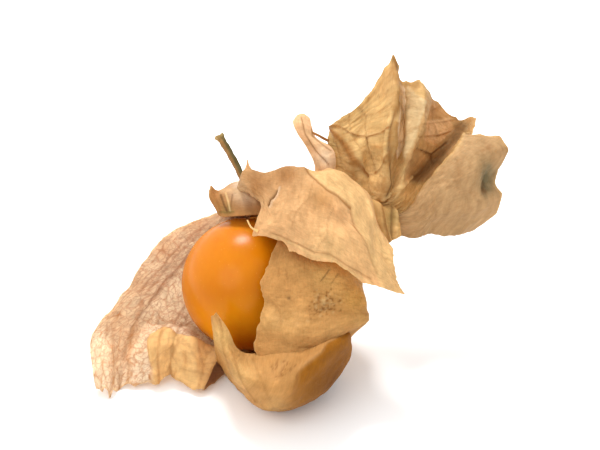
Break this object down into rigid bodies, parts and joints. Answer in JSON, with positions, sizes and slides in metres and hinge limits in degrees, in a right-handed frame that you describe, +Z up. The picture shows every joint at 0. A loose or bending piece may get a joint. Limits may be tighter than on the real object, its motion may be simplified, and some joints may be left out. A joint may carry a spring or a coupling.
{
  "type": "physalis berry",
  "caption": "Ripe orange physalis berry in its dry, papery husk, which has split and spread open, with a short cut stalk.",
  "frame": {"origin": "middle of the bounding box at table height, under the husk's flat belly", "axes": "+Z up, -Y out of the husk's open side towards the viewer, +X to the side where the tall crown of lobes stands"},
  "size_m": [0.0612, 0.0448, 0.0373],
  "materials": {
    "berry": "glossy",
    "husk": "dry, papery",
    "stalk": "matte"
  },
  "bodies": {
    "root": {"berry": "berry", "husk": "husk", "stalk": "stalk"}
  },
  "joints": []
}
